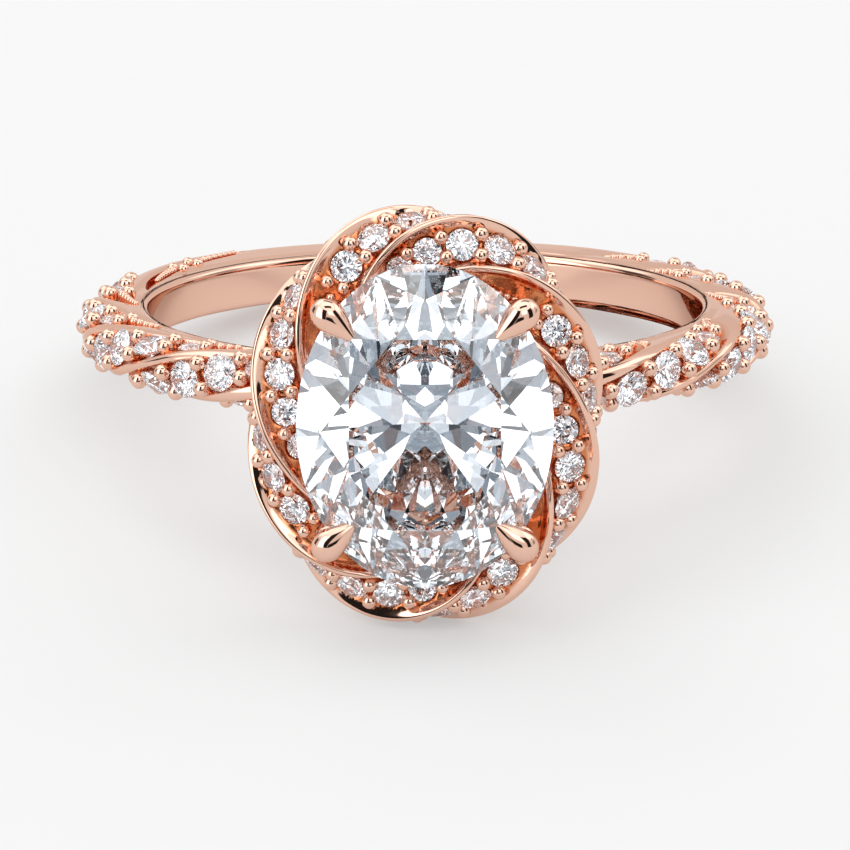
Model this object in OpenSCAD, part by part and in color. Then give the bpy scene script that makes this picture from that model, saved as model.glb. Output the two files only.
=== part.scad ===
// Halo diamond ring, lying on its side as it would on a table.
// Millimetres. The ring is drawn with its finger hole along Z, its middle at the origin and its head
// towards -Y, and is then tipped until it rests on the halo and on the back of the band.

/* [Band] */
// Inside diameter of the finger hole, US size 6
inner_d = 16.5; // [15.7:0.1:17.3]
// Width of the band along the finger
band_w = 1.48; // [1.44:0.02:1.56]
// Thickness of the band from the finger hole outwards
band_t = 1.96; // [1.9:0.02:2.04]
// Degrees of the band from one raised rib to the next
rib_pitch = 27; // [26:0.5:28]
// Degrees that a rib winds round the band's section for each degree along the band
rib_twist = 4.3; // [4:0.1:4.6]
// Depth of the channels between the ribs
channel_depth = 0.2; // [0.16:0.01:0.24]
// Half of the plain stretch at the back of the band, in degrees
plain_half = 42; // [40:1:44]

/* [Halo] */
// Half width of the oval line at the middle of the twisted halo
halo_a = 3.8; // [3.75:0.01:3.85]
// Half length of that line
halo_b = 4.75; // [4.7:0.01:4.8]
// Height of that line above the middle of the finger hole
halo_z = 12.85; // [12.8:0.01:12.95]
// Half width of the twisted section across its ribs
twist_out = 1.2; // [1.16:0.01:1.24]
// Half height of the twisted section across its ribs
twist_up = 0.96; // [0.92:0.01:1]
// Angle of the first rib in the section at the halo's right-hand end
twist_start = 52; // [48:1:56]
// Full twists round the oval
twist_turns = 2; // [2:2:2]

/* [Centre stone] */
// Width of the oval stone
stone_w = 7; // [6.9:0.05:7.05]
// Length of the oval stone
stone_l = 9; // [8.9:0.05:9.05]
// Height of its girdle above the middle of the finger hole
girdle_z = 14.24; // [14.2:0.01:14.3]

/* [Small stones] */
// Widest stones of the band
band_gem = 1.1; // [1:0.02:1.12]
// Section angle from one stone of a channel to the next
band_gem_pitch = 33; // [32:0.5:34]
// Widest stones of the halo
halo_gem = 0.88; // [0.84:0.01:0.9]
// Gap between a stone and its seat
seat_gap = 0.03; // [0.02:0.005:0.04]

/* [Claws] */
// Width of a claw's rounded end
claw_w = 0.9; // [0.84:0.01:0.94]
// Thickness of the wires under the claws
wire_d = 0.84; // [0.8:0.01:0.88]

/* [Hidden] */

bore_r = inner_d / 2;
outer_r = bore_r + band_t;

// Section of the ribbed part of the band: a rounded oval round section_r
section_r = bore_r + 1.03;
section_out = outer_r - section_r;
section_up = band_w / 2;
section_power = 2.75;
back_power = 9;

// Plain lining of the finger hole, whose flat edges show beside the ribs
lining_w = 1.4;
lining_t = 0.6;
edge_round = 0.16;

// Channels of one half of the band; the other half is this half turned over about the head's axis.
// MID is where the channel crosses the outer face, in degrees from the head. It covers the section
// angles from TURN - SPAN to TURN + SPAN, and HALF is half its length along the band. One of its stones
// sits at the section angle STONE, and TWIN is that angle in the same channel of the other half.
MID = 0;
TURN = 1;
SPAN = 2;
HALF = 3;
STONE = 4;
TWIN = 5;
half_rib = 2.2;
full_half = rib_pitch / 2 - half_rib;
half_channels = [
    [0.5 * rib_pitch, 65, 75, full_half * 0.85, 85, -82],
    [1.5 * rib_pitch, 0, 140, full_half, 12, -11],
    [2.5 * rib_pitch, 0, 140, full_half, 10, 25],
    [3.5 * rib_pitch, 0, 140, full_half, 59, 80],
    [4.42 * rib_pitch, -20, 120, full_half * 0.95, 58, 72],
    [5.45 * rib_pitch, -93, 45, full_half * 0.6, -86, 84]
];
channels = concat(
    [for (i = [len(half_channels) - 1:-1:0]) turned_over(half_channels[i])],
    half_channels
);
function turned_over(c) = [-c[MID], -c[TURN], c[SPAN], c[HALF], c[TWIN], c[STONE]];

// Section angles at which the ribbed surface is drawn, and the points of its hidden inner side
section_angles = [-118, -108, -96, -80, -64, -48, -32, -16, 0, 16, 32, 48, 64, 80, 96, 108, 118];
hidden_r = bore_r + 0.42;
hidden_sides = [[0.42, 78], [0.16, 30], [-0.16, -30], [-0.42, -78]];

// Stations across one channel. REACH is the side of the channel's middle and the part of its half
// length there, WIDER the degrees added to that, and SUNK the part of the depth that is reached.
REACH = 0;
WIDER = 1;
SUNK = 2;
stations = [
    [-1, 0.6, 0.15],
    [-1, -0.9, 1],
    [0, 0, 0.94],
    [1, -0.9, 1],
    [1, 0.6, 0.15]
];
end_stations = [5.98 * rib_pitch, 6.2 * rib_pitch];

// Small stones: proportions of a stone to its diameter, and how deep it sits under the ribs
gem_sides = 8;
gem_crown = 0.15;
gem_pavilion = 0.43;
gem_table = 0.56;
gem_sink = 0.15;
gem_wall = 0.12;
gem_least = 0.56;
gem_reach = 92;
band_gem_steps = [-6:6];
halo_gem_steps = [-2:3];
halo_gem_middle = 43;
halo_gem_pitch = 12.5;
halo_gem_wider = 0.85;
halo_gem_outside = 0.9;
halo_gem_taper = 0.0035;
head_clear = 19;

// Centre stone: proportions to its half width, and its crown and pavilion heights
table_share = 0.634;
star_share = 0.8;
half_share = 0.25;
girdle_t = 0.14;
crown_h = 1.05;
pavilion_h = 2.95;
facet_turn = 22.5;

// Halo section: angles within a quarter, and how far out the surface lies there
quarter = 90;
halo_angles = [0, 8, 17, 45, 73, 82];
halo_shares = [1, 0.965, 0.73, 0.63, 0.73, 0.965];
halo_rings = 48;
halo_floor = 0.645;

// Claw: plan of its rounded end and tip, and the line of the wire under it
claw_end = [3.0, 3.52];
claw_tip = [1.83, 2.48];
claw_end_z = 14.66;
claw_tip_z = 14.99;
claw_profile = [[0.02, 0.28], [0.1, 0.66], [0.22, 0.93], [0.34, 1], [0.48, 0.9], [0.64, 0.66],
    [0.8, 0.38], [0.93, 0.14]];
claw_sides = 12;
wire_line = [[1.02, 1.18, 10.1], [1.5, 1.86, 11.2], [2.08, 2.58, 12.4], [2.5, 3.04, 13.5],
    [2.6, 3.14, 14.5]];
wire_sides = 10;
rail_r = 1.5;
rail_z = 10.42;

// Tip of the ring at rest: the lowest rib of the halo and the back of the band touch one plane, and
// the origin is midway between the table's lower edge and the back
rib_low_y = halo_z - 0.39 * twist_up;
rib_low_z = halo_b + 0.874 * twist_out;
back_low_y = outer_r - edge_round;
table_z = girdle_z + girdle_t / 2 + crown_h;
table_low = stone_l / 2 * table_share * cos(facet_turn);
rest_tilt = atan2(rib_low_z - band_w / 2, rib_low_y + back_low_y);
rest_z = back_low_y * sin(rest_tilt) + band_w / 2 * cos(rest_tilt);
back_y = outer_r * cos(rest_tilt) + (band_w / 2 - edge_round) * sin(rest_tilt);
front_y = table_z * cos(rest_tilt) + table_low * sin(rest_tilt);
rest_y = (front_y - back_y) / 2;

METAL = [0.89, 0.69, 0.6];
GEM = [0.9, 0.95, 1];

// Sections and surfaces

function clamp01(v) = min(1, max(0, v));

// The band's section is a rounded oval, and grows squarer where it runs into the plain back
function power_at(t) =
    section_power + (back_power - section_power) * pow(clamp01((abs(t) - 112) / (68 - plain_half)), 2);

// Distance share of that section at a section angle
function section_share(a, power) = pow(pow(abs(cos(a)), power) + pow(abs(sin(a)), power), -1 / power);

// Direction in which that surface faces
function section_facing(a, power) =
    let (share = section_share(a, power))
    atan2(
        sign(sin(a)) * pow(abs(sin(a)) * share, power - 1) / section_up,
        sign(cos(a)) * pow(abs(cos(a)) * share, power - 1) / section_out
    );

// Point of the section, [outwards, along the finger], sunk by a depth
function section_point(t, a, depth) =
    let (power = power_at(t), share = section_share(a, power), facing = section_facing(a, power))
    [
        section_out * share * cos(a) - depth * cos(facing),
        section_up * share * sin(a) - depth * sin(facing)
    ];

// Half length of a channel, in degrees along the band, at a section angle
function channel_half(c, a) =
    let (u = clamp01(abs(a - c[TURN]) / c[SPAN])) c[HALF] * (1 - pow(u, 2.6));

// Share of the full depth there
function channel_share(c, a) =
    let (u = clamp01(abs(a - c[TURN]) / c[SPAN])) 1 - pow(u, 4);

// Ribs wind less under the plain back, where the ribbed part ends
function winding(t) =
    1 - 0.4 * clamp01((abs(t) - 5.6 * rib_pitch) / (0.6 * rib_pitch));

function along_band(t, a) = t + a / rib_twist * winding(t);

// Under the plain back the ribbed part stays just inside it
function under_back(t) = abs(t) > 180 - plain_half + 0.5 ? 0.03 : 0;

function band_point(t, out, up) = [out * sin(t), -out * cos(t), up];

function rib_ring(mid, half_of, depth_of) = [
    for (a = section_angles)
        let (
            t = along_band(mid + half_of(a), a),
            p = section_point(t, a, depth_of(a) + under_back(t))
        )
        band_point(t, section_r + p[0], p[1]),
    for (s = hidden_sides)
        let (t = along_band(mid + half_of(s[1]), s[1]))
        band_point(t, hidden_r, s[0])
];

band_rings = concat(
    [for (e = [1, 0]) rib_ring(-end_stations[e], function(a) 0, function(a) 0)],
    [
        for (c = channels)
            each [
                rib_ring(c[MID] - rib_pitch / 2, function(a) 0, function(a) 0),
                for (s = stations)
                    rib_ring(
                        c[MID],
                        function(a) s[REACH] * max(0.2 + s[WIDER] / 8, channel_half(c, a) + s[WIDER]),
                        function(a) channel_depth * s[SUNK] * channel_share(c, a)
                    )
            ]
    ],
    [for (e = [0, 1]) rib_ring(end_stations[e], function(a) 0, function(a) 0)]
);

// Skin over a row of rings, closed with a point at each end, or joined end to start
module skin(rings, closed = false) {
    n = len(rings);
    m = len(rings[0]);
    points = [for (r = rings) each r];
    middle = function(r) [for (k = [0:2]) ([for (p = r) 1] * [for (p = r) p[k]]) / m];
    walls = [
        for (i = [0:n - (closed ? 1 : 2)], j = [0:m - 1])
            let (
                a = i * m + j,
                b = i * m + (j + 1) % m,
                c = (i + 1) % n * m + (j + 1) % m,
                d = (i + 1) % n * m + j
            )
            each [[a, b, c], [a, c, d]]
    ];
    caps = closed ? [] : [
        for (j = [0:m - 1])
            each [[n * m, (j + 1) % m, j], [n * m + 1, (n - 1) * m + j, (n - 1) * m + (j + 1) % m]]
    ];
    polyhedron(
        points = closed ? points : concat(points, [middle(rings[0]), middle(rings[n - 1])]),
        faces = concat(walls, caps)
    );
}

// Band

module lining() {
    rotate_extrude($fn = 120)
    translate([bore_r, 0])
    polygon([
        [0, -lining_w / 2 + edge_round],
        [edge_round, -lining_w / 2],
        [lining_t, -lining_w / 2],
        [lining_t, lining_w / 2],
        [edge_round, lining_w / 2],
        [0, lining_w / 2 - edge_round]
    ]);
}

module plain_back() {
    rotate([0, 0, 90 - plain_half])
    rotate_extrude(angle = 2 * plain_half, $fn = 120)
    translate([bore_r + 0.3, 0])
    polygon([
        [0, -lining_w / 2 + 0.02],
        [0.3, -band_w / 2],
        [band_t - 0.3 - edge_round, -band_w / 2],
        [band_t - 0.3, -band_w / 2 + edge_round],
        [band_t - 0.3, band_w / 2 - edge_round],
        [band_t - 0.3 - edge_round, band_w / 2],
        [0.3, band_w / 2],
        [0, lining_w / 2 - 0.02]
    ]);
}

module ribbed_band() {
    skin(band_rings);
}

// Small stones

// Diameter of the stone that a channel holds at a section angle
function band_gem_d(c, a) =
    abs(a - c[TURN]) > c[SPAN] || abs(a) > gem_reach
        ? 0
        : min(band_gem, 2 * (channel_half(c, a) * 0.0645 - gem_wall));

// Rounds of corners of a brilliant cut, from its lower point up
module cut_gem(d, gap = 0) {
    r = d / 2 + gap;
    ring = function(share, z) [
        for (i = [0:gem_sides - 1])
            let (t = (i + 0.5) * 360 / gem_sides)
            [r * share * cos(t), r * share * sin(t), z]
    ];
    points = concat(
        [[0, 0, -d * gem_pavilion - gap * 1.4]],
        ring(1, 0),
        gap == 0 ? ring(gem_table, d * gem_crown) : ring(1, d * gem_crown + 0.25)
    );
    polyhedron(
        points = points,
        faces = [
            for (i = [0:gem_sides - 1])
                let (j = (i + 1) % gem_sides)
                each [[0, i + 1, j + 1], [i + 1, i + 9, j + 9, j + 1]],
            [for (i = [gem_sides - 1:-1:0]) gem_sides + 1 + i]
        ]
    );
}

module band_gems(side, gap = 0) {
    for (c = channels, k = band_gem_steps) {
        a = c[STONE] + k * band_gem_pitch;
        d = band_gem_d(c, a);
        t = along_band(c[MID], a);
        if (d > gem_least && side * t > head_clear && abs(t) < 180 - plain_half - 1) {
            p = section_point(t, a, gem_sink);
            rotate([0, 0, t])
            translate([0, -section_r - p[0], p[1]])
            rotate([90 - section_facing(a, power_at(t)), 0, 0])
            cut_gem(d, gap);
        }
    }
}

// Halo, drawn with the stone's table up and turned onto the ring by on_head

function halo_out(t) = atan2(sin(t) / halo_b, cos(t) / halo_a);

function rib_angle(t, quarter_turn) = twist_start + twist_turns * t + quarter * quarter_turn;

function halo_point(t, a, share) =
    let (o = halo_out(t), out = twist_out * share * cos(a))
    [halo_a * cos(t) + out * cos(o), halo_b * sin(t) + out * sin(o), halo_z + twist_up * share * sin(a)];

halo_rings_list = [
    for (i = [0:halo_rings - 1])
        let (t = i * 360 / halo_rings)
        [
            for (q = [0:3], s = [0:len(halo_angles) - 1])
                halo_point(t, rib_angle(t, q) + halo_angles[s], halo_shares[s])
        ]
];

module halo() {
    skin(halo_rings_list, closed = true);
}

// Diameter of a halo stone at a section angle: smaller where it faces outwards or the centre stone
function halo_gem_d(g) =
    halo_gem * (g < 0 ? halo_gem_outside : 1 - halo_gem_taper * max(0, g - 60));

// Stones of the halo sit halfway between two ribs, clear of the claws, from which those that face
// outwards lean away. They are evenly spaced along the oval, so further apart in degrees at its ends.
module halo_gems(gap = 0) {
    for (petal = [0:7], k = halo_gem_steps) {
        middle = (halo_gem_middle - twist_start - quarter / 2 - quarter * petal) / twist_turns;
        t = middle + k * (halo_gem_pitch - halo_gem_wider * cos(2 * middle));
        g = twist_start + quarter / 2 + quarter * petal + twist_turns * t;
        at = halo_point(t, g, halo_floor);
        plan = [abs(at[0]) - claw_end[0] + 0.3, abs(at[1]) - claw_end[1] + 0.3];
        if (norm(plan) > halo_gem / 2 + claw_w / 2 + (g < 30 ? -0.05 : 0.05)) {
            translate(at)
            rotate([0, 0, halo_out(t)])
            rotate([0, 90 - g, 0])
            cut_gem(halo_gem_d(g), gap);
        }
    }
}

// Claws

module claw() {
    along = [claw_tip[0] - claw_end[0], claw_tip[1] - claw_end[1], claw_tip_z - claw_end_z];
    flat = atan2(along[1], along[0]);
    side = [-sin(flat), cos(flat), 0];
    up = cross(along / norm(along), side);
    rings = [
        for (p = claw_profile)
            [
                for (i = [0:claw_sides - 1])
                    let (t = i * 360 / claw_sides)
                    [claw_end[0], claw_end[1], claw_end_z] + along * p[0]
                        + side * (claw_w / 2 * p[1] * cos(t)) - up * (claw_w * 0.46 * p[1] * sin(t))
            ]
    ];
    skin(rings);
}

module wire() {
    rings = [
        for (p = wire_line)
            [
                for (i = [0:wire_sides - 1])
                    let (t = i * 360 / wire_sides)
                    p + [wire_d / 2 * cos(t), -wire_d / 2 * sin(t), 0]
            ]
    ];
    skin(rings);
}

module four_ways() {
    for (x = [0, 1], y = [0, 1])
        mirror([x, 0, 0])
        mirror([0, y, 0])
        children();
}

module rail() {
    translate([0, 0, rail_z])
    rotate_extrude($fn = 60)
    translate([rail_r, 0])
    circle(d = wire_d, $fn = 40);
}

// Centre stone

function oval(share, turn, z) =
    [stone_w / 2 * share * cos(turn), stone_l / 2 * share * sin(turn), z];

module oval_brilliant(gap = 0) {
    grow = 1 + gap / (stone_w / 2);
    step = 45;
    half_step = step / 2;
    crown_k = crown_h / (1 - table_share);
    star_z = crown_k * (1 - star_share * cos(half_step));
    half_z = pavilion_h * (1 - half_share * cos(half_step));
    table = [for (i = [0:7]) oval(table_share, facet_turn + i * step, girdle_t / 2 + crown_h)];
    star = [for (i = [0:7]) oval(star_share, i * step, girdle_t / 2 + star_z)];
    upper = [for (i = [0:15]) oval(1, i * half_step, girdle_t / 2)];
    lower = [for (i = [0:15]) oval(1, i * half_step, -girdle_t / 2)];
    halves = [for (i = [0:7]) oval(half_share, i * step, -girdle_t / 2 - half_z)];
    culet = [[0, 0, -girdle_t / 2 - pavilion_h]];
    points = concat(table, star, upper, lower, halves, culet);
    T = 0;
    S = 8;
    U = 16;
    L = 32;
    H = 48;
    C = 56;
    faces = [
        [for (i = [7:-1:0]) T + i],
        for (i = [0:7])
            let (
                n = (i + 1) % 8,
                main = 2 * i + 1,
                before = 2 * i,
                after = (2 * i + 2) % 16
            )
            each [
                [S + i, T + (i + 7) % 8, T + i],
                [T + i, U + main, S + i],
                [T + i, S + n, U + main],
                [S + i, U + main, U + before],
                [S + n, U + after, U + main],
                [U + before, U + main, L + main],
                [U + before, L + main, L + before],
                [U + main, U + after, L + after],
                [U + main, L + after, L + main],
                [L + before, L + main, H + i],
                [L + main, L + after, H + n],
                [C, L + main, H + n],
                [C, H + i, L + main]
            ]
    ];
    scale(grow)
    polyhedron(points = points, faces = faces);
}

// Placing

module on_head() {
    rotate([90, 0, 0])
    children();
}

module at_rest() {
    translate([0, rest_y, rest_z])
    rotate([-rest_tilt, 0, 0])
    children();
}

// Nodes

module setting() {
    color(METAL)
    at_rest() {
        lining();
        plain_back();
        difference() {
            ribbed_band();
            band_gems(1, seat_gap);
            band_gems(-1, seat_gap);
        }
        on_head() {
            difference() {
                halo();
                halo_gems(seat_gap);
            }
            difference() {
                four_ways() {
                    claw();
                    wire();
                }
                translate([0, 0, girdle_z])
                oval_brilliant(seat_gap);
            }
            rail();
        }
    }
}

module centre_stone() {
    color(GEM)
    at_rest()
    on_head()
    translate([0, 0, girdle_z])
    oval_brilliant();
}

module halo_stones() {
    color(GEM)
    at_rest()
    on_head()
    halo_gems();
}

module left_band_stones() {
    color(GEM)
    at_rest()
    band_gems(-1);
}

module right_band_stones() {
    color(GEM)
    at_rest()
    band_gems(1);
}

setting();
centre_stone();
halo_stones();
left_band_stones();
right_band_stones();
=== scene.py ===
# Halo diamond ring: an oval brilliant in a twisted halo, on a twisted band set with small brilliants.
# Millimetres in the ring's own frame: the finger hole runs along Z, its middle is the origin and the
# head points to -Y. finish_piece() tips each finished piece onto the table and brings it to metres.

import math
import random

import bpy
from mathutils import Matrix, Vector


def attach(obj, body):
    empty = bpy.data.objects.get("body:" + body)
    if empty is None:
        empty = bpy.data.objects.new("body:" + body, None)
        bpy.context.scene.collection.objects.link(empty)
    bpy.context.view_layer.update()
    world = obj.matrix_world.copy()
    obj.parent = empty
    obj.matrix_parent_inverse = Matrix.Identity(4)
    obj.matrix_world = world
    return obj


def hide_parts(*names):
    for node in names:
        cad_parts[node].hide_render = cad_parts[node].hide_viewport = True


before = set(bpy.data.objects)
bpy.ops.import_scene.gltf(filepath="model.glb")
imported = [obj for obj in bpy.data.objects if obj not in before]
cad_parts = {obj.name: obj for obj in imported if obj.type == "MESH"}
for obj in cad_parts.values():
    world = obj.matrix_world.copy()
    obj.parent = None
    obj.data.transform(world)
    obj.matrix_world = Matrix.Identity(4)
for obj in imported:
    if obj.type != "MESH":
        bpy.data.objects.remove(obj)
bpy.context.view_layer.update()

MM = 0.001

# Band, in the part's own values
BORE_R = 8.25
BAND_W = 1.48
BAND_T = 1.96
OUTER_R = BORE_R + BAND_T
SECTION_R = BORE_R + 1.03
SECTION_OUT = OUTER_R - SECTION_R
SECTION_UP = BAND_W / 2
RIB_PITCH = 27
RIB_TWIST = 4.3
PLAIN_HALF = 42
SECTION_POWER = 2.75
BACK_POWER = 9
LINING_UP = 0.7
EDGE_ROUND = 0.16
RIBBED_TURN = 118
TIP_TURN = 140
TIP_R = 8.52

# Channels of the band: "ribs" is where one crosses the outer face, in rib pitches from the head, "turn"
# and "span" say which section angles it covers, and "wide" is its length along the band as a share of
# the space between two ribs. One stone sits at the section angle "stone", and "twin" is that angle in
# the same channel of the other half. "lean" is how much further along the band a channel runs for each
# degree of section angle.
FULL_HALF = RIB_PITCH / 2 - 2.2
HALF_CHANNELS = [
    {"ribs": 0.5, "turn": 65, "span": 75, "wide": 0.85, "stone": 85, "twin": -82, "lean": 0},
    {"ribs": 1.5, "turn": 0, "span": 140, "wide": 1, "stone": 12, "twin": -11, "lean": 0},
    {"ribs": 2.5, "turn": 0, "span": 140, "wide": 1, "stone": 10, "twin": 25, "lean": 0},
    {"ribs": 3.5, "turn": 0, "span": 140, "wide": 1, "stone": 59, "twin": 80, "lean": 0},
    {"ribs": 4.42, "turn": -20, "span": 120, "wide": 0.95, "stone": 58, "twin": 72, "lean": 0},
    {"ribs": 5.45, "turn": -93, "span": 45, "wide": 0.6, "stone": -86, "twin": 84, "lean": 0.24},
]
for row in HALF_CHANNELS:
    row["mid"] = row["ribs"] * RIB_PITCH
    row["half"] = row["wide"] * FULL_HALF
CHANNELS = [
    dict(c, mid=-c["mid"], turn=-c["turn"], stone=c["twin"]) for c in reversed(HALF_CHANNELS)
] + HALF_CHANNELS

# Halo
HALO_A = 3.8
HALO_B = 4.75
HALO_Z = 12.85
TWIST_OUT = 1.2
TWIST_UP = 0.96
TWIST_START = 52
TWIST_TURNS = 2
STRAND = 90
STRANDS = 4
PETALS = 8

# Stones
STONE_W = 7.0
STONE_L = 9.0
GIRDLE_Z = 14.24
BAND_GEM = 1.1
BAND_GEM_PITCH = 33
BAND_GEM_STEPS = range(-6, 7)
HALO_GEM = 0.88
HALO_GEM_SHARE = 0.645
HALO_GEM_MIDDLE = 43
HALO_GEM_PITCH = 12.5
HALO_GEM_WIDER = 0.85
HALO_GEM_STEPS = range(-2, 4)
HALO_GEM_OUTSIDE = 0.9
HALO_GEM_TAPER = 0.0035
GEM_SINK = 0.15
GEM_WALL = 0.12
GEM_LEAST = 0.56
GEM_REACH = 92
CHANNEL_MM = 0.0645
HEAD_CLEAR = 19

# Claws
CLAW_END = Vector((3.0, 3.52, 14.66))
CLAW_TIP = Vector((1.83, 2.48, 14.99))
CLAW_W = 0.9
CLAW_WIDEST = 0.34
CLAW_HIGH = 0.92
WIRE_D = 0.84
WIRE_LINE = [(1.02, 1.18, 10.1), (1.5, 1.86, 11.2), (2.08, 2.58, 12.4), (2.5, 3.04, 13.5), (2.6, 3.14, 14.5)]
RAIL_R = 1.5
RAIL_Z = 10.42

# Rest: the tip of the ring and where its middle comes to lie
REST_TILT = math.radians(12.6575)
REST_Y = 2.73766
REST_Z = 2.92419
LAID = (
    Matrix.Scale(MM, 4)
    @ Matrix.Translation((0, REST_Y, REST_Z))
    @ Matrix.Rotation(-REST_TILT, 4, "X")
)
ON_HEAD = Matrix.Rotation(math.radians(90), 4, "X")

# Relief of the metal that the visual model adds
CHANNEL_SUNK = 0.25
CHANNEL_FLANK = 0.22
HOLLOW_WIDER = 1.05
RIB_CROWN = 0.035
BAND_BEAD_R = 0.25
HALO_BEAD_R = 0.235
BEAD_RISE = 0.8
BEAD_STALK = 1.6
BEAD_ROOM_SHARE = 0.7
PAIR_ASIDE = 0.35
TIP_BEAD_R = 0.135
TIP_BEAD_LEAST = 0.085
TIP_BEAD_TAPER = 0.94
HALO_BEAD_SHARE = 0.765
HALO_ROOM = 0.42
HALO_ROOM_OUTSIDE = 0.72
HALO_STONE_SWELL = 1.04

random.seed(7)


# Small helpers


def clamp01(value):
    return min(1.0, max(0.0, value))


def lerp(a, b, share):
    return a + (b - a) * share


def smooth(value):
    value = clamp01(value)
    return value * value * (3 - 2 * value)


def sind(angle):
    return math.sin(math.radians(angle))


def cosd(angle):
    return math.cos(math.radians(angle))


def signed_power(value, power):
    return math.copysign(abs(value) ** power, value)


def only(obj):
    """Selects one object and makes it active."""
    bpy.ops.object.select_all(action="DESELECT")
    obj.select_set(True)
    bpy.context.view_layer.objects.active = obj


def named(obj, name):
    obj.name = name
    obj.data.name = name
    return obj


def clean(obj, near=1e-5):
    """Merges doubles and turns all faces outwards."""
    only(obj)
    bpy.ops.object.mode_set(mode="EDIT")
    bpy.ops.mesh.select_all(action="SELECT")
    bpy.ops.mesh.remove_doubles(threshold=near)
    bpy.ops.mesh.normals_make_consistent(inside=False)
    bpy.ops.object.mode_set(mode="OBJECT")


def apply_place(obj, place):
    obj.matrix_world = place @ obj.matrix_world
    only(obj)
    bpy.ops.object.transform_apply(location=True, rotation=True, scale=True)


def join(objects, name):
    bpy.ops.object.select_all(action="DESELECT")
    for obj in objects:
        obj.select_set(True)
    bpy.context.view_layer.objects.active = objects[0]
    bpy.ops.object.join()
    return named(bpy.context.view_layer.objects.active, name)


def copy_of(obj, place):
    """A copy with its own mesh, placed by a matrix."""
    twin = obj.copy()
    twin.data = obj.data.copy()
    bpy.context.collection.objects.link(twin)
    twin.matrix_world = place
    return twin


def finish_piece(obj, material, node, smooth_shade=True):
    """Lays a piece down with the ring, gives it its finish, hangs it on the root body and hides the CAD part
    that it stands for.
    """
    apply_place(obj, LAID)
    obj.data.materials.clear()
    obj.data.materials.append(material)
    only(obj)
    if smooth_shade:
        bpy.ops.object.shade_smooth()
    else:
        bpy.ops.object.shade_flat()
    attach(obj, "root")
    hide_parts(node)
    return obj


# The band's surface, worked out as in the part's source


def power_at(t):
    share = clamp01((abs(t) - 112) / (68 - PLAIN_HALF))
    return SECTION_POWER + (BACK_POWER - SECTION_POWER) * share * share


def section_share(a, power):
    return (abs(cosd(a)) ** power + abs(sind(a)) ** power) ** (-1 / power)


def section_facing(a, power):
    share = section_share(a, power)
    return math.atan2(
        signed_power(sind(a) * share, power - 1) / SECTION_UP,
        signed_power(cosd(a) * share, power - 1) / SECTION_OUT,
    )


def on_band(t, out, up):
    return Vector((out * sind(t), -out * cosd(t), up))


def band_section(t, a):
    """The ribbed surface at t degrees from the head and section angle a: its distance from the ring's
    axis, its height and the way it faces. Past RIBBED_TURN it runs flat towards the finger hole."""
    power = power_at(t)
    turn = max(-RIBBED_TURN, min(RIBBED_TURN, a))
    share = section_share(turn, power)
    out = SECTION_R + SECTION_OUT * share * cosd(turn)
    up = SECTION_UP * share * sind(turn)
    facing = section_facing(turn, power)
    past = (abs(a) - RIBBED_TURN) / (TIP_TURN - RIBBED_TURN)
    if past <= 0:
        return out, up, facing
    side = math.copysign(1, a)
    flat = smooth(past * 1.5)
    return lerp(out, TIP_R, past), lerp(up, side * LINING_UP, flat), lerp(facing, side * math.pi / 2, flat)


def band_surface(t, a, depth=0.0):
    out, up, facing = band_section(t, a)
    return on_band(t, out - depth * math.cos(facing), up - depth * math.sin(facing))


def band_facing(t, a):
    facing = band_section(t, a)[2]
    return Vector((math.cos(facing) * sind(t), -math.cos(facing) * cosd(t), math.sin(facing)))


def channel_half(channel, a):
    u = clamp01(abs(a - channel["turn"]) / channel["span"])
    return channel["half"] * (1 - u**2.6)


def channel_share(channel, a):
    u = clamp01(abs(a - channel["turn"]) / channel["span"])
    return 1 - u**4


def channel_mid(channel, a):
    """Middle of a channel along the band at a section angle, before the ribs' winding is added."""
    turn = max(channel["turn"] - channel["span"], min(channel["turn"] + channel["span"], a))
    return channel["mid"] + channel["lean"] * (turn - channel["stone"])


def winding(s):
    return 1 - 0.4 * clamp01((abs(s) - 5.6 * RIB_PITCH) / (0.6 * RIB_PITCH))


def along_band(s, a):
    return s + a / RIB_TWIST * winding(s)


# The halo's surface, in the head's frame with the table up


def halo_out(t):
    return math.degrees(math.atan2(sind(t) / HALO_B, cosd(t) / HALO_A))


def rib_angle(t, strand):
    return TWIST_START + TWIST_TURNS * t + STRAND * strand


def halo_surface(t, a, share):
    facing = halo_out(t)
    out = TWIST_OUT * share * cosd(a)
    return Vector(
        (
            HALO_A * cosd(t) + out * cosd(facing),
            HALO_B * sind(t) + out * sind(facing),
            HALO_Z + TWIST_UP * share * sind(a),
        )
    )


def halo_facing(t, a):
    facing = halo_out(t)
    return Vector((cosd(a) * cosd(facing), cosd(a) * sind(facing), sind(a)))


# Seats: each stone is a place on the metal, with the metal cut away under its girdle


class Seat:
    """Where a small stone sits: the middle of its girdle, the way its table faces and its diameter."""

    def __init__(self, at, facing, along, size, channel=0, angle=0.0):
        self.at = at
        self.facing = facing.normalized()
        self.along = (along - along.dot(self.facing) * self.facing).normalized()
        self.size = size
        self.channel = channel
        self.angle = angle

    def place(self, spin=0.0):
        side = self.facing.cross(self.along)
        turned = self.along * math.cos(spin) + side * math.sin(spin)
        across = self.facing.cross(turned)
        return Matrix(
            (
                (turned.x * self.size, across.x * self.size, self.facing.x * self.size, self.at.x),
                (turned.y * self.size, across.y * self.size, self.facing.y * self.size, self.at.y),
                (turned.z * self.size, across.z * self.size, self.facing.z * self.size, self.at.z),
                (0, 0, 0, 1),
            )
        )

    def cut(self, point):
        """The point, or where it goes when it lies in the way of this stone."""
        away = point - self.at
        height = away.dot(self.facing)
        aside = (away - self.facing * height).length
        radius = self.size / 2 + 0.02
        if aside >= radius:
            return point
        floor = -0.05 - (0.43 * self.size + 0.05) * (1 - aside / radius)
        if height <= floor:
            return point
        return point + self.facing * (floor - height)


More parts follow.
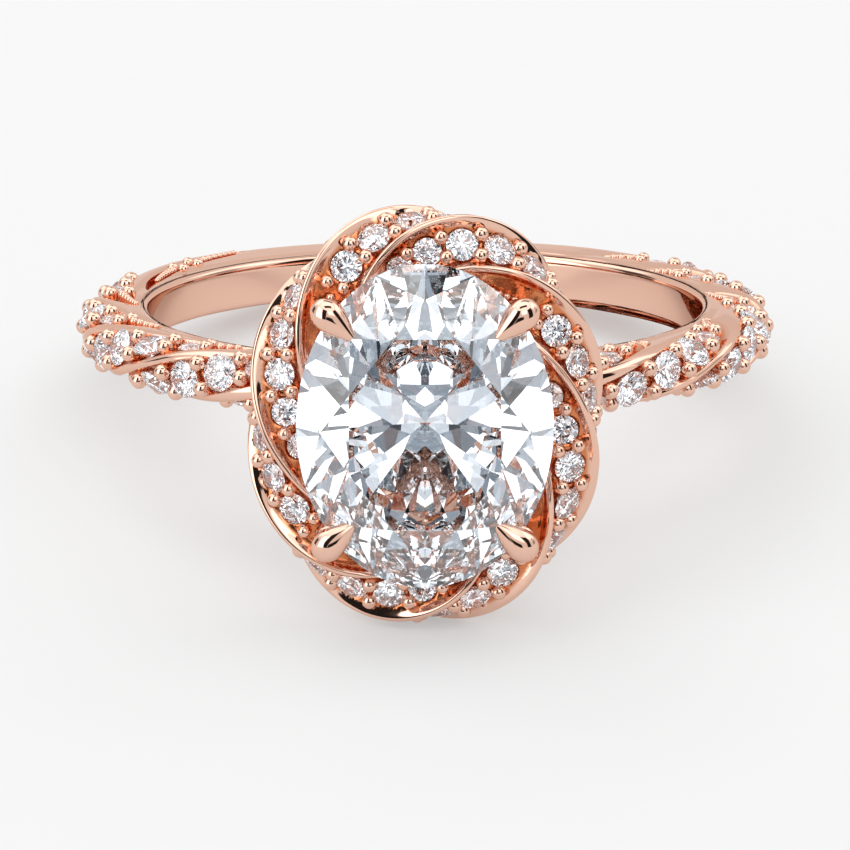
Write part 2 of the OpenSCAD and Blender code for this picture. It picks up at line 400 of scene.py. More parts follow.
def steps_on(surface, t, a, e=0.5):
    """How the surface moves for a degree of t and for a degree of a, in mm."""
    by_t = (surface(t + e, a) - surface(t - e, a)) / (2 * e)
    by_a = (surface(t, a + e) - surface(t, a - e)) / (2 * e)
    return by_t, by_a


def beside(surface, t, a, t_share, offset):
    """The t and a that lie offset mm to the side of a line whose t grows by t_share for a degree of a."""
    by_t, by_a = steps_on(surface, t, a)
    line = by_t * t_share + by_a
    back = -by_t.dot(line) / line.dot(line)
    across = by_t + line * back
    share = offset / across.length
    return t + share * (1 + back * t_share), a + share * back


def band_gem_size(channel, a):
    if abs(a - channel["turn"]) > channel["span"] or abs(a) > GEM_REACH:
        return 0
    return min(BAND_GEM, 2 * (channel_half(channel, a) * CHANNEL_MM - GEM_WALL))


def band_seats():
    seats = []
    for index, channel in enumerate(CHANNELS):
        for step in BAND_GEM_STEPS:
            a = channel["stone"] + step * BAND_GEM_PITCH
            size = band_gem_size(channel, a)
            t = along_band(channel["mid"], a)
            if size > GEM_LEAST and HEAD_CLEAR < abs(t) < 180 - PLAIN_HALF - 1:
                at = band_surface(t, a, GEM_SINK)
                by_t, by_a = steps_on(band_surface, t, a)
                seats.append(Seat(at, band_facing(t, a), by_t / RIB_TWIST + by_a, size, index, a))
    return seats


def halo_gem_size(g):
    if g < 0:
        return HALO_GEM * HALO_GEM_OUTSIDE
    return HALO_GEM * (1 - HALO_GEM_TAPER * max(0, g - 60))


def halo_floor(t, a):
    return halo_surface(t, a, HALO_GEM_SHARE)


def petal_t(petal, g):
    """Where round the oval the channel of a petal lies at a section angle."""
    return (g - TWIST_START - STRAND / 2 - STRAND * petal) / TWIST_TURNS


def petal_angle(petal, t):
    return TWIST_START + STRAND / 2 + STRAND * petal + TWIST_TURNS * t


def halo_seats():
    seats = []
    for petal in range(PETALS):
        middle = petal_t(petal, HALO_GEM_MIDDLE)
        for step in HALO_GEM_STEPS:
            t = middle + step * (HALO_GEM_PITCH - HALO_GEM_WIDER * cosd(2 * middle))
            g = petal_angle(petal, t)
            at = halo_floor(t, g)
            plan = Vector((abs(at.x) - CLAW_END.x + 0.3, abs(at.y) - CLAW_END.y + 0.3))
            if plan.length > HALO_GEM / 2 + CLAW_W / 2 + (-0.05 if g < 30 else 0.05):
                by_t, by_a = steps_on(halo_floor, t, g)
                size = halo_gem_size(g) * HALO_STONE_SWELL
                seats.append(Seat(at, halo_facing(t, g), by_t / TWIST_TURNS + by_a, size, petal, g))
    return seats


BAND_SEATS = band_seats()
HALO_SEATS = halo_seats()


# Metal sheets: a grid is laid over a surface and closed on itself


def laid_sheet(name, columns, rows, place):
    """A closed sheet of columns round one way and rows round the other. place gives the point and how
    deep in a recess it lies."""
    bpy.ops.object.select_all(action="DESELECT")
    bpy.ops.mesh.primitive_grid_add(x_subdivisions=columns, y_subdivisions=rows, size=2)
    sheet = named(bpy.context.active_object, name)
    recess = sheet.data.attributes.new("recess", "FLOAT", "POINT")
    for index, vertex in enumerate(sheet.data.vertices):
        column = round((vertex.co.x + 1) / 2 * columns) % columns
        row = round((vertex.co.y + 1) / 2 * rows) % rows
        point, depth = place(column, row)
        vertex.co = point
        recess.data[index].value = depth
    clean(sheet)
    return sheet


# Columns across a channel, as shares of its half length, closer together on its flanks
FLANK_SHARES = [0.15, 0.3, 0.45, 0.58, 0.69, 0.77, 0.82, 0.86, 0.895, 0.925, 0.95, 0.97, 0.985, 1]
CHANNEL_COLUMNS = [-share for share in reversed(FLANK_SHARES)] + [0] + FLANK_SHARES
RIB_COLUMNS = [0.06, 0.18, 0.34, 0.5, 0.66, 0.82, 0.94]
BACK_COLUMNS = 40
LEAST_HALF = 0.12


def channel_columns():
    """Each column is a channel and a share of its half length, or two channels and a share between."""
    columns = []
    for index in range(len(CHANNELS)):
        columns += [("in", index, share) for share in CHANNEL_COLUMNS]
        if index < len(CHANNELS) - 1:
            columns += [("rib", index, share) for share in RIB_COLUMNS]
    columns += [("back", len(CHANNELS) - 1, (i + 1) / (BACK_COLUMNS + 1)) for i in range(BACK_COLUMNS)]
    return columns


# Rows round the band's section: the ribbed side by section angle, then over the rounded rim into the
# finger hole and out again
RIBBED_STEP = 2
RIM_TURNS = [90, 112, 135, 158, 180]
WALL_ROWS = 8


def section_rows():
    rows = [("ribbed", a, 0) for a in range(-TIP_TURN, TIP_TURN + 1, RIBBED_STEP)]
    rows += [("unwound", 1, share) for share in (0.35, 0.7)]
    rows += [("rim", 1, turn) for turn in RIM_TURNS]
    rows += [("wall", 1 - 2 * i / WALL_ROWS, 0) for i in range(1, WALL_ROWS)]
    rows += [("rim", -1, turn) for turn in reversed(RIM_TURNS)]
    rows += [("unwound", -1, share) for share in (0.7, 0.35)]
    return rows


def flank(share):
    """Depth share of a channel, from 0 at its edge to 1 on its floor."""
    return smooth((1 - share) / CHANNEL_FLANK)


def hollow_half(channel, a):
    """Half length of the hollow between two ribs, which the polished ribs leave a little wider."""
    return channel_half(channel, a) * HOLLOW_WIDER


def column_at(column, a):
    """Where a column lies on the outer face at a section angle, how far the metal is sunk there and how
    far a rib swells."""
    kind, index, share = column
    channel = CHANNELS[index]
    half = hollow_half(channel, a)
    wide = max(half, LEAST_HALF * channel["half"])
    if kind == "in":
        true_share = abs(share) * wide / max(half, 1e-6)
        sunk = flank(true_share) * channel_share(channel, a) if true_share < 1 else 0
        return channel_mid(channel, a) + share * wide, sunk, 0
    after = CHANNELS[(index + 1) % len(CHANNELS)]
    start = channel_mid(channel, a) + wide
    end = channel_mid(after, a) - max(hollow_half(after, a), LEAST_HALF * after["half"])
    if kind == "rib":
        return lerp(start, end, share), 0, RIB_CROWN * (1 - (2 * share - 1) ** 2)
    s = lerp(start, end + 360, share)
    return (s if s <= 180 else s - 360), 0, 0


def cut_by(seats, point, reach):
    """The point, sunk under every seat that it lies in."""
    for seat in seats:
        if (point - seat.at).length_squared < reach:
            point = seat.cut(point)
    return point


def band_place(columns, rows):
    rim_up = LINING_UP - EDGE_ROUND
    rim_r = BORE_R + EDGE_ROUND

    def place(c, r):
        column = columns[c]
        kind, where, share = rows[r]
        if kind == "ribbed":
            s, sunk, crown = column_at(column, where)
            point = band_surface(along_band(s, where), where, CHANNEL_SUNK * sunk - crown)
            if sunk:
                point = cut_by(BAND_SEATS, point, 1)
            return point, sunk
        s = column_at(column, TIP_TURN)[0]
        if kind == "unwound":
            t = lerp(along_band(s, TIP_TURN * where), s, share)
            return on_band(t, lerp(TIP_R, rim_r, share), where * LINING_UP), 0
        if kind == "rim":
            up = rim_up + EDGE_ROUND * sind(share)
            return on_band(s, rim_r + EDGE_ROUND * cosd(share), where * up), 0
        return on_band(s, BORE_R, rim_up * where), 0

    return place


def band():
    columns = channel_columns()
    rows = section_rows()
    return laid_sheet("twisted_band", len(columns), len(rows), band_place(columns, rows))


# Halo: a twisted square bar with a channel sunk into each face where the stones are. HOLLOW gives how
# far out the surface of a channel lies at an angle from the crest beside it.

HALO_COLUMNS = 480
HALO_FLAT = 0.7
HOLLOW = [
    (0, 1.0), (1.5, 0.998), (3, 0.99), (4.2, 0.975), (5.2, 0.95), (6, 0.91), (6.7, 0.86), (7.4, 0.81),
    (8.2, 0.765), (9.5, 0.73), (12, 0.7), (17, 0.672), (24, 0.652), (34, 0.636), (45, 0.63),
]
SET_FROM = -18
SET_TO = 128
SET_FADE = 18


def halo_rows():
    """Angles round one strand, from one crest to just before the next."""
    rising = [angle for angle, _ in HOLLOW]
    falling = [STRAND - angle for angle in reversed(rising[1:-1])]
    return rising + falling


def hollow_share(a):
    for (a0, s0), (a1, s1) in zip(HOLLOW, HOLLOW[1:]):
        if a <= a1:
            return lerp(s0, s1, (a - a0) / (a1 - a0))
    return HOLLOW[-1][1]


def stones_at(g):
    """1 where a channel of the halo that faces g is set with stones, 0 where its face is plain."""
    g = (g + 180) % 360 - 180
    return smooth((g - SET_FROM) / SET_FADE + 1) * smooth((SET_TO - g) / SET_FADE + 1)


def halo():
    angles = halo_rows()

    def place(c, r):
        t = 360 * c / HALO_COLUMNS
        strand, step = divmod(r, len(angles))
        crest = rib_angle(t, strand)
        a = angles[step]
        beside_crest = min(a, STRAND - a)
        stoned = stones_at(crest + STRAND / 2)
        hollow = hollow_share(beside_crest)
        flat = min(1, HALO_FLAT / cosd(STRAND / 2 - beside_crest))
        point = halo_surface(t, crest + a, lerp(flat, hollow, stoned))
        depth = stoned * smooth((0.84 - hollow) / 0.12)
        if depth:
            point = cut_by(HALO_SEATS, point, 0.6)
        return point, depth

    sheet = laid_sheet("twisted_halo", HALO_COLUMNS, len(angles) * STRANDS, place)
    apply_place(sheet, ON_HEAD)
    return sheet


# Stones, cut facet by facet


def keep_below(obj, point, normal):
    """Cuts off what lies above a plane and closes the cut."""
    bpy.ops.mesh.select_all(action="SELECT")
    bpy.ops.mesh.bisect(plane_co=point, plane_no=normal, use_fill=True, clear_outer=True)


def plane_through(a, b, c, inside):
    """Normal of the plane through three points, pointing away from a point inside the stone."""
    normal = (b - a).cross(c - a).normalized()
    return normal if normal.dot(a - inside) > 0 else -normal


def round_at(radius, angle, height):
    return Vector((radius * cosd(angle), radius * sind(angle), height))


def cut_brilliant(name, girdle_sides, table, crown, pavilion, girdle, star, lower, turn):
    """A round brilliant of radius 1. table, star and lower are shares of the radius, crown and pavilion
    are heights, and turn is where its first kite lies."""
    bpy.ops.object.select_all(action="DESELECT")
    depth = crown + pavilion + girdle
    middle = (crown - pavilion) / 2
    bpy.ops.mesh.primitive_cylinder_add(vertices=girdle_sides, radius=1, depth=depth, location=(0, 0, middle))
    stone = named(bpy.context.active_object, name)
    bpy.ops.object.transform_apply(location=True)
    bpy.ops.object.mode_set(mode="EDIT")
    step = 45
    inside = Vector((0, 0, 0))
    crown_slope = crown / (1 - table)
    for i in range(8):
        kite = turn + i * step
        middle_angle = kite + step / 2
        after = kite + step
        top = girdle / 2
        star_r = lerp(table * cosd(step / 2), 1, star)
        star_z = top + crown_slope * (1 - star_r * cosd(step / 2))
        corner = round_at(table, kite, top + crown)
        next_corner = round_at(table, after, top + crown)
        star_point = round_at(star_r, middle_angle, star_z)
        kite_end = round_at(1, kite, top)
        next_end = round_at(1, after, top)
        half_end = round_at(1, middle_angle, top)
        keep_below(stone, kite_end, plane_through(kite_end, corner, star_point, inside))
        keep_below(stone, corner, plane_through(corner, next_corner, star_point, inside))
        keep_below(stone, kite_end, plane_through(kite_end, half_end, star_point, inside))
        keep_below(stone, next_end, plane_through(next_end, half_end, star_point, inside))
        low = -girdle / 2
        lower_r = 1 - lower
        lower_z = low - pavilion * (1 - lower_r * cosd(step / 2))
        culet = Vector((0, 0, low - pavilion))
        low_point = round_at(lower_r, middle_angle, lower_z)
        main_end = round_at(1, kite, low)
        next_main = round_at(1, after, low)
        low_half = round_at(1, middle_angle, low)
        keep_below(stone, culet, plane_through(culet, main_end, low_point, inside))
        keep_below(stone, main_end, plane_through(main_end, low_half, low_point, inside))
        keep_below(stone, next_main, plane_through(next_main, low_half, low_point, inside))
    bpy.ops.object.mode_set(mode="OBJECT")
    clean(stone, 1e-6)
    return stone


def centre_stone():
    """The oval brilliant, a round one drawn out to an oval."""
    stone = cut_brilliant(
        "oval_brilliant", girdle_sides=64, table=0.634, crown=1.05, pavilion=2.95, girdle=0.14,
        star=0.55, lower=0.75, turn=22.5,
    )
    stone.scale = (STONE_W / 2, STONE_L / 2, 1)
    stone.location = (0, 0, GIRDLE_Z)
    only(stone)
    bpy.ops.object.transform_apply(location=True, rotation=True, scale=True)
    apply_place(stone, ON_HEAD)
    return stone


def small_brilliant():
    """The small stone, one across, that every seat gets a copy of."""
    stone = cut_brilliant(
        "small_brilliant", girdle_sides=16, table=0.56, crown=0.3, pavilion=0.82, girdle=0.05,
        star=0.5, lower=0.75, turn=0,
    )
    stone.scale = (0.5, 0.5, 0.5)
    only(stone)
    bpy.ops.object.transform_apply(location=True, rotation=True, scale=True)
    return stone


def set_stones(master, seats, name):
    stones = [copy_of(master, seat.place(random.uniform(0, math.tau))) for seat in seats]
    return join(stones, name)


# Beads that hold the small stones


def bead_master():
    bpy.ops.object.select_all(action="DESELECT")
    bpy.ops.mesh.primitive_uv_sphere_add(segments=12, ring_count=8, radius=1)
    bead = named(bpy.context.active_object, "bead")
    for vertex in bead.data.vertices:
        if vertex.co.z < 0:
            vertex.co.z *= BEAD_STALK
    return bead


def bead_place(at, facing, radius):
    turn = facing.to_track_quat("Z", "Y").to_matrix().to_4x4()
    return Matrix.Translation(at) @ turn @ Matrix.Diagonal((radius, radius, radius, 1))


class Row:
    """One channel with its stones: how its middle line runs, and how much room it has to each side."""

    def __init__(self, seats, gap, surface, facing, t_share, t_at, room_at):
        self.seats = sorted(seats, key=lambda seat: seat.angle)
        self.gap = gap
        self.surface = surface
        self.facing = facing
        self.t_share = t_share
        self.t_at = t_at
        self.room_at = room_at

    def bead(self, master, a, aside, radius):
        """A bead beside the middle line, which stands out of the metal by a share of its radius."""
        t, turn = beside(self.surface, self.t_at(a), a, self.t_share, aside)
        facing = self.facing(t, turn)
        at = self.surface(t, turn) + facing * (BEAD_RISE - 1) * radius
        return copy_of(master, bead_place(at, facing, radius))

    def step(self, a, length):
        """The angle that a length in mm along the middle line takes."""
        by_t, by_a = steps_on(self.surface, self.t_at(a), a)
        return length / (by_t * self.t_share + by_a).length

    def beads(self, master, radius):
        """Pairs of beads between the stones and at both ends, then a tapering row to each tip."""
        made = []
        pairs = []
        for before, after in zip(self.seats, self.seats[1:]):
            if after.angle - before.angle < self.gap * 1.4:
                pairs.append(((before.angle + after.angle) / 2, (before.size + after.size) / 2))
        for end, side in ((self.seats[0], -1), (self.seats[-1], 1)):
            reach = self.step(end.angle, end.size / 2 + radius * 0.7)
            pairs.append((end.angle + side * reach, end.size * 0.8))
            made += self.tip(master, end.angle + side * reach, side, radius)
        for a, size in pairs:
            near = min(radius * min(1, 0.55 + 0.45 * size), self.room_at(a) * BEAD_ROOM_SHARE)
            aside = min(PAIR_ASIDE * size, self.room_at(a) - near * 0.4)
            if aside > near * 0.6:
                made += [self.bead(master, a, side * aside, near) for side in (-1, 1)]
            else:
                made.append(self.bead(master, a, 0, near))
        return made

    def tip(self, master, a, side, before):
        made = []
        while True:
            a += side * self.step(a, before + min(TIP_BEAD_R, before))
            radius = min(TIP_BEAD_R, self.room_at(a) * 0.85, before * TIP_BEAD_TAPER)
            if radius < TIP_BEAD_LEAST:
                return made
            made.append(self.bead(master, a, 0, radius))
            before = radius


def band_beads(master):
    beads = []
    for index, channel in enumerate(CHANNELS):
        seats = [seat for seat in BAND_SEATS if seat.channel == index]
        row = Row(
            seats, BAND_GEM_PITCH, band_surface, band_facing, 1 / RIB_TWIST + channel["lean"],
            lambda a: along_band(channel_mid(channel, a), a),
            lambda a: channel_half(channel, a) * CHANNEL_MM,
        )
        beads += row.beads(master, BAND_BEAD_R)
    return join(beads, "band_beads")


def halo_bead_surface(t, a):
    return halo_surface(t, a, HALO_BEAD_SHARE)


def halo_room(g):
    """Room beside the middle line of a halo's channel: less where it faces outwards, and none past the
    stones."""
    return HALO_ROOM * stones_at(g) ** 3 * lerp(HALO_ROOM_OUTSIDE, 1, clamp01(g / 40))


def halo_beads(master):
    beads = []
    for petal in range(PETALS):
        seats = [seat for seat in HALO_SEATS if seat.channel == petal]
        row = Row(
            seats, 2 * HALO_GEM_PITCH, halo_bead_surface, halo_facing, 1 / TWIST_TURNS,
            lambda g: petal_t(petal, g), halo_room,
        )
        beads += row.beads(master, HALO_BEAD_R)
    beads = join(beads, "halo_beads")
    apply_place(beads, ON_HEAD)
    return beads


# Claws, wires and rail


def claw_width(share):
    """Half width of a claw along its length, as a share of the widest."""
    if share < CLAW_WIDEST:
        return math.sqrt(max(0, 1 - ((CLAW_WIDEST - share) / CLAW_WIDEST) ** 2))
    return 1 - ((share - CLAW_WIDEST) / (1 - CLAW_WIDEST)) ** 1.5


def claw(stone, name, mirror_x, mirror_y):
    """A teardrop over the girdle with the wire that carries it, hollowed for the stone."""
    bpy.ops.object.select_all(action="DESELECT")
    bpy.ops.mesh.primitive_uv_sphere_add(segments=40, ring_count=40, radius=1)
    drop = bpy.context.active_object
    line = CLAW_TIP - CLAW_END
    flat = math.atan2(line.y, line.x)
    side = Vector((-math.sin(flat), math.cos(flat), 0))
    up = line.normalized().cross(side)
    for vertex in drop.data.vertices:
        share = math.acos(max(-1, min(1, -vertex.co.z))) / math.pi
        ring = math.hypot(vertex.co.x, vertex.co.y)
        across = vertex.co.x / ring if ring > 1e-6 else 0
        high = vertex.co.y / ring if ring > 1e-6 else 0
        width = claw_width(share) * CLAW_W / 2
        vertex.co = CLAW_END + line * share + side * (width * across) + up * (width * CLAW_HIGH * high)
    bpy.ops.object.select_all(action="DESELECT")
    bpy.ops.curve.primitive_nurbs_path_add()
    path = bpy.context.active_object
    path.data.splines.clear()
    spline = path.data.splines.new("NURBS")
    spline.points.add(len(WIRE_LINE) - 1)
    for point, place in zip(spline.points, WIRE_LINE):
        point.co = (*place, 1)
    spline.use_endpoint_u = True
    spline.order_u = 4
    path.data.bevel_depth = WIRE_D / 2
    path.data.bevel_resolution = 6
    path.data.use_fill_caps = True
    only(path)
    bpy.ops.object.convert(target="MESH")
    piece = join([drop, path], name)
    piece.scale = (mirror_x, mirror_y, 1)
    only(piece)
    bpy.ops.object.transform_apply(location=True, rotation=True, scale=True)
    apply_place(piece, ON_HEAD)
    clean(piece)
    cut = piece.modifiers.new("seat for the stone", "BOOLEAN")
    cut.operation = "DIFFERENCE"
    cut.solver = "EXACT"
    cut.use_self = True
    cut.object = stone
    only(piece)
    bpy.ops.object.modifier_apply(modifier=cut.name)
    return piece


def rail():
    bpy.ops.object.select_all(action="DESELECT")
    bpy.ops.mesh.primitive_torus_add(
        major_radius=RAIL_R, minor_radius=WIRE_D / 2, major_segments=64, minor_segments=24,
        location=(0, 0, RAIL_Z),
    )
    ring = named(bpy.context.active_object, "gallery_rail")
    bpy.ops.object.transform_apply(location=True)
    apply_place(ring, ON_HEAD)
    return ring


# Materials


def principled(name):
    material = bpy.data.materials.new(name)
    material.use_nodes = True
    nodes = material.node_tree.nodes
    return material, nodes, material.node_tree.links, nodes["Principled BSDF"]


def rose_gold():
    """Polished rose gold, with painted shade down in the recesses, where it turns darker and redder, and less
    polished there.
    """
    material, nodes, links, shader = principled("polished rose gold")
    shader.inputs["Metallic"].default_value = 1
    shader.inputs["Specular Tint"].default_value = (0.865, 0.735, 0.67, 1)
    place = nodes.new("ShaderNodeTexCoord")
    recess = nodes.new("ShaderNodeAttribute")
    recess.attribute_name = "recess"
    # Painted shade: where the metal lies sunk, the gold's colour turns darker and a deeper orange red,
    # standing in for the shade and the many reflections down in the recesses.
    tint = nodes.new("ShaderNodeMix")
    tint.data_type = "RGBA"
    tint.inputs[6].default_value = (0.83, 0.53, 0.41, 1)
    tint.inputs[7].default_value = (0.64, 0.22, 0.09, 1)
    links.new(recess.outputs["Fac"], tint.inputs[0])
    links.new(tint.outputs[2], shader.inputs["Base Color"])
    polish = nodes.new("ShaderNodeTexNoise")
    polish.inputs["Scale"].default_value = 700
    polish.inputs["Detail"].default_value = 4
    links.new(place.outputs["Object"], polish.inputs["Vector"])
    rough = nodes.new("ShaderNodeMapRange")
    rough.inputs["To Min"].default_value = 0.045
    rough.inputs["To Max"].default_value = 0.07
    links.new(polish.outputs["Fac"], rough.inputs["Value"])
    worn = nodes.new("ShaderNodeMath")
    worn.operation = "MULTIPLY_ADD"
    worn.inputs[1].default_value = 0.1
    links.new(recess.outputs["Fac"], worn.inputs[0])
    links.new(rough.outputs["Result"], worn.inputs[2])
    links.new(worn.outputs["Value"], shader.inputs["Roughness"])
    grain = nodes.new("ShaderNodeTexNoise")
    grain.inputs["Scale"].default_value = 9000
    grain.inputs["Detail"].default_value = 3
    links.new(place.outputs["Object"], grain.inputs["Vector"])
    raised = nodes.new("ShaderNodeMath")
    raised.operation = "MULTIPLY"
    links.new(grain.outputs["Fac"], raised.inputs[0])
    links.new(recess.outputs["Fac"], raised.inputs[1])
    bump = nodes.new("ShaderNodeBump")
    bump.inputs["Strength"].default_value = 0.25
    bump.inputs["Distance"].default_value = 0.00004
    links.new(raised.outputs["Value"], bump.inputs["Height"])
    links.new(bump.outputs["Normal"], shader.inputs["Normal"])
    return material


def diamond(name, tint):
    material, nodes, links, shader = principled(name)
    shader.inputs["Base Color"].default_value = tint
    shader.inputs["Roughness"].default_value = 0.0
    shader.inputs["IOR"].default_value = 2.42
    shader.inputs["Transmission Weight"].default_value = 1
    return material


# Studio

# What the light inside the stones meets: tent and table broken into facet-sized patches, the same to the left
# and the right, from dark blue grey to bright.
# In the tent the patches are light; on the table they are painted glints, a glow that only rays through a
# stone see.
# The first column is the share of patches below a tone.
GLINTS = [
    (0.0, (0.02, 0.024, 0.03)),
    (0.17, (0.12, 0.14, 0.17)),
    (0.28, (0.4, 0.46, 0.53)),
    (0.42, (0.95, 1.0, 1.07)),
    (0.64, (1.9, 1.94, 2.0)),
]
GLINT_SCALE = 7


def glints(nodes, links, way):
    """The colour that the light inside the stones meets in a direction."""
    apart = nodes.new("ShaderNodeSeparateXYZ")
    links.new(way, apart.inputs["Vector"])
    beside = nodes.new("ShaderNodeMath")
    beside.operation = "ABSOLUTE"
    links.new(apart.outputs["X"], beside.inputs[0])
    mirrored = nodes.new("ShaderNodeCombineXYZ")
    links.new(beside.outputs["Value"], mirrored.inputs["X"])
    links.new(apart.outputs["Y"], mirrored.inputs["Y"])
    links.new(apart.outputs["Z"], mirrored.inputs["Z"])
    patches = nodes.new("ShaderNodeTexVoronoi")
    patches.inputs["Scale"].default_value = GLINT_SCALE
    links.new(mirrored.outputs["Vector"], patches.inputs["Vector"])
    tones = nodes.new("ShaderNodeValToRGB")
    tones.color_ramp.interpolation = "CONSTANT"
    for index, (share, tone) in enumerate(GLINTS):
        stop = tones.color_ramp.elements[index] if index < 2 else tones.color_ramp.elements.new(share)
        stop.position = share
        stop.color = (*tone, 1)
    lone = nodes.new("ShaderNodeSeparateXYZ")
    links.new(patches.outputs["Color"], lone.inputs["Vector"])
    links.new(lone.outputs["X"], tones.inputs["Fac"])
    return tones.outputs["Color"]


# The middle of the centre stone as it lies, in metres, from which the stones see the table
SEEN_FROM = (0, -0.0102, 0.0059)


def floor():
    """A white table, which rays through the stones see as painted glints: glowing patches from dark to bright
    in place of the plain table.
    """
    bpy.ops.object.select_all(action="DESELECT")
    bpy.ops.mesh.primitive_plane_add(size=0.5, location=(0, 0, 0))
    table = named(bpy.context.active_object, "table")
    material, nodes, links, shader = principled("white table")
    shader.inputs["Base Color"].default_value = (0.42, 0.42, 0.42, 1)
    shader.inputs["Emission Color"].default_value = (1, 1, 1, 1)
    shader.inputs["Emission Strength"].default_value = 0.385
    shader.inputs["Roughness"].default_value = 0.7
    shader.inputs["Specular IOR Level"].default_value = 0.1
    place = nodes.new("ShaderNodeTexCoord")
    way = nodes.new("ShaderNodeVectorMath")
    way.operation = "SUBTRACT"
    way.inputs[1].default_value = SEEN_FROM
    links.new(place.outputs["Object"], way.inputs[0])
    even = nodes.new("ShaderNodeVectorMath")
    even.operation = "NORMALIZE"
    links.new(way.outputs["Vector"], even.inputs[0])
    # Painted glints: rays that come through a stone see these glowing patches instead of the lit white table.
    painted_glint = nodes.new("ShaderNodeEmission")
    links.new(glints(nodes, links, even.outputs["Vector"]), painted_glint.inputs["Color"])
    path = nodes.new("ShaderNodeLightPath")
    seen = nodes.new("ShaderNodeMixShader")
    links.new(path.outputs["Is Transmission Ray"], seen.inputs["Fac"])
    links.new(shader.outputs["BSDF"], seen.inputs[1])
    links.new(painted_glint.outputs["Emission"], seen.inputs[2])
    links.new(seen.outputs["Shader"], nodes["Material Output"].inputs["Surface"])
    table.data.materials.append(material)


# Panels of light in the tent, and the dark gaps between them: which way each lies, how many degrees it
# is wide and high from its middle, how soft its edge is, and the light it adds or the share it keeps
PANELS = [
    {"way": (-0.8, -0.5, 0.4), "wide": 15, "high": 24, "edge": 5, "light": 1.6},
    {"way": (0.3, -0.85, 0.75), "wide": 12, "high": 9, "edge": 4, "light": 1.2},
    {"way": (0.9, 0.3, 0.6), "wide": 18, "high": 14, "edge": 6, "light": 0.9},
    {"way": (-0.5, 0.7, 0.75), "wide": 20, "high": 10, "edge": 6, "light": 0.8},
]
GAPS = [
    {"way": (0, -1, 0.08), "wide": 13, "high": 9, "edge": 3, "kept": 0.02},
    {"way": (-0.42, -0.8, 0.42), "wide": 10, "high": 28, "edge": 2.5, "kept": 0.02},
    {"way": (0.78, -0.5, 0.35), "wide": 11, "high": 26, "edge": 2.5, "kept": 0.02},
    {"way": (0.85, 0.15, 0.25), "wide": 9, "high": 12, "edge": 3, "kept": 0.4},
    {"way": (-0.93, 0.25, 0.2), "wide": 9, "high": 12, "edge": 3, "kept": 0.1},
    {"way": (0.05, -0.2, 1.0), "wide": 16, "high": 6, "edge": 3, "kept": 0.03},
    {"way": (0.1, 0.6, 0.8), "wide": 14, "high": 5, "edge": 3, "kept": 0.05},
]


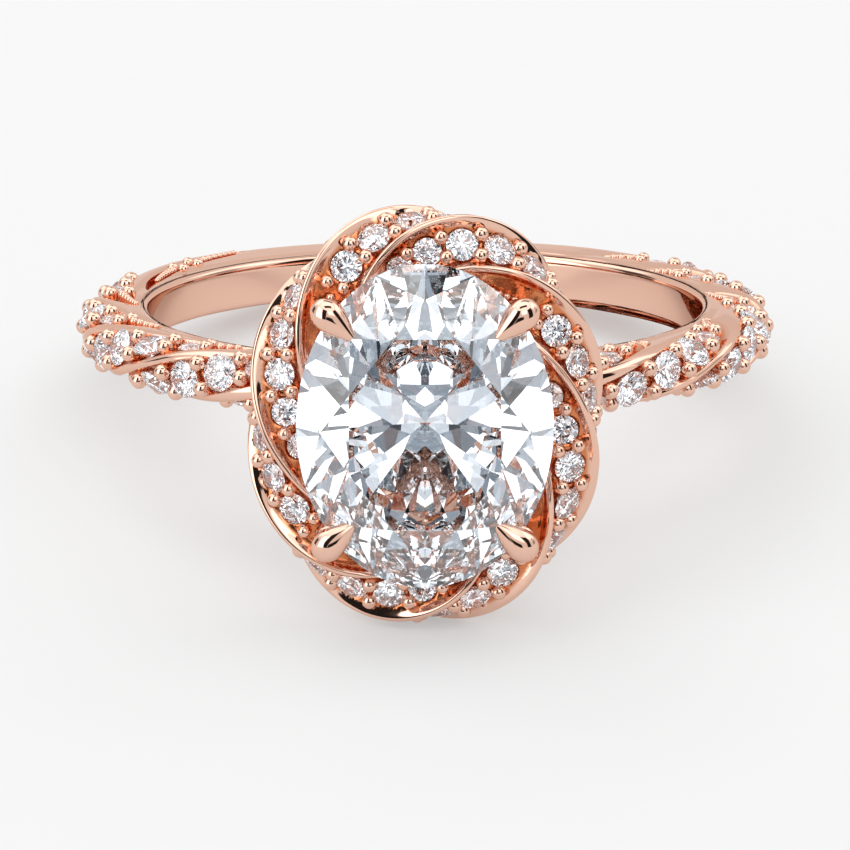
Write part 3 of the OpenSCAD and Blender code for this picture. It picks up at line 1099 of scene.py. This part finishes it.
def studio_sky():
    """A white tent, brighter overhead, with panels of light and dark gaps that the polished metal and the
    stones mirror."""
    world = bpy.data.worlds.new("tent")
    bpy.context.scene.world = world
    world.use_nodes = True
    nodes = world.node_tree.nodes
    links = world.node_tree.links
    back = nodes["Background"]
    place = nodes.new("ShaderNodeTexCoord")
    apart = nodes.new("ShaderNodeSeparateXYZ")
    links.new(place.outputs["Generated"], apart.inputs["Vector"])

    def maths(operation, a, b=0.0, c=0.0):
        node = nodes.new("ShaderNodeMath")
        node.operation = operation
        for socket, value in zip(node.inputs, (a, b, c)):
            if isinstance(value, (int, float)):
                socket.default_value = value
            else:
                links.new(value, socket)
        return node.outputs[0]

    def along(axis):
        way = nodes.new("ShaderNodeVectorMath")
        way.operation = "DOT_PRODUCT"
        links.new(place.outputs["Generated"], way.inputs[0])
        way.inputs[1].default_value = axis
        return way.outputs["Value"]

    def within(value, limit, edge):
        """1 where an angle's sine is inside a limit in degrees, 0 past its edge."""
        spread = nodes.new("ShaderNodeMapRange")
        spread.interpolation_type = "SMOOTHSTEP"
        spread.inputs["From Min"].default_value = sind(limit + edge)
        spread.inputs["From Max"].default_value = sind(limit)
        links.new(maths("ABSOLUTE", value), spread.inputs["Value"])
        return spread.outputs["Result"]

    def patch(shape):
        """1 inside a patch of the tent, which is as wide and high as the shape says."""
        way = Vector(shape["way"]).normalized()
        side = way.cross((0, 0, 1)).normalized()
        inside = maths(
            "MULTIPLY",
            within(along(side), shape["wide"], shape["edge"]),
            within(along(side.cross(way)), shape["high"], shape["edge"]),
        )
        return maths("MULTIPLY", inside, maths("GREATER_THAN", along(way), 0.0))

    height = nodes.new("ShaderNodeMapRange")
    height.inputs["From Min"].default_value = 0.55
    height.inputs["From Max"].default_value = 1.0
    height.inputs["To Min"].default_value = 0.88
    height.inputs["To Max"].default_value = 2.0
    links.new(apart.outputs["Z"], height.inputs["Value"])
    light = height.outputs["Result"]
    for panel in PANELS:
        light = maths("MULTIPLY_ADD", patch(panel), panel["light"], light)
    for gap in GAPS:
        light = maths("MULTIPLY", light, maths("MULTIPLY_ADD", patch(gap), gap["kept"] - 1, 1.0))
    path = nodes.new("ShaderNodeLightPath")
    seen = nodes.new("ShaderNodeMix")
    seen.data_type = "RGBA"
    links.new(path.outputs["Is Transmission Ray"], seen.inputs[0])
    links.new(light, seen.inputs[6])
    links.new(glints(nodes, links, place.outputs["Generated"]), seen.inputs[7])
    links.new(seen.outputs[2], back.inputs["Color"])


def camera():
    """The photograph's camera: level from side to side, looking down at the head."""
    bpy.ops.object.camera_add(
        location=(0, -0.135776, 0.064299), rotation=(math.radians(90 - 25.033), 0, 0)
    )
    eye = bpy.context.active_object
    eye.data.sensor_width = 36
    eye.data.lens = 214.6
    eye.data.clip_start = 0.001
    eye.data.clip_end = 10
    bpy.context.scene.camera = eye


# Building

gold = rose_gold()
oval_diamond = diamond("oval diamond", (0.94, 0.975, 1, 1))
small_diamond = diamond("small diamonds", (1, 1, 1, 1))

oval = centre_stone()
finish_piece(band(), gold, "setting")
finish_piece(halo(), gold, "setting")
for number, (mirror_x, mirror_y) in enumerate(((1, 1), (-1, 1), (-1, -1), (1, -1)), 1):
    finish_piece(claw(oval, f"claw_{number}", mirror_x, mirror_y), gold, "setting")
finish_piece(rail(), gold, "setting")

one_bead = bead_master()
finish_piece(band_beads(one_bead), gold, "setting")
finish_piece(halo_beads(one_bead), gold, "setting")
bpy.data.objects.remove(one_bead)

one_stone = small_brilliant()
left_stones = set_stones(one_stone, [seat for seat in BAND_SEATS if seat.at.x < 0], "left_band_brilliants")
right_stones = set_stones(one_stone, [seat for seat in BAND_SEATS if seat.at.x > 0], "right_band_brilliants")
halo_stones = set_stones(one_stone, HALO_SEATS, "halo_brilliants")
apply_place(halo_stones, ON_HEAD)
finish_piece(left_stones, small_diamond, "left_band_stones", smooth_shade=False)
finish_piece(right_stones, small_diamond, "right_band_stones", smooth_shade=False)
finish_piece(halo_stones, small_diamond, "halo_stones", smooth_shade=False)
finish_piece(oval, oval_diamond, "centre_stone", smooth_shade=False)
bpy.data.objects.remove(one_stone)

floor()
studio_sky()
camera()
bpy.context.scene.view_settings.view_transform = "Standard"
bpy.context.scene.cycles.max_bounces = 32
bpy.context.scene.cycles.glossy_bounces = 24
bpy.context.scene.cycles.transmission_bounces = 24
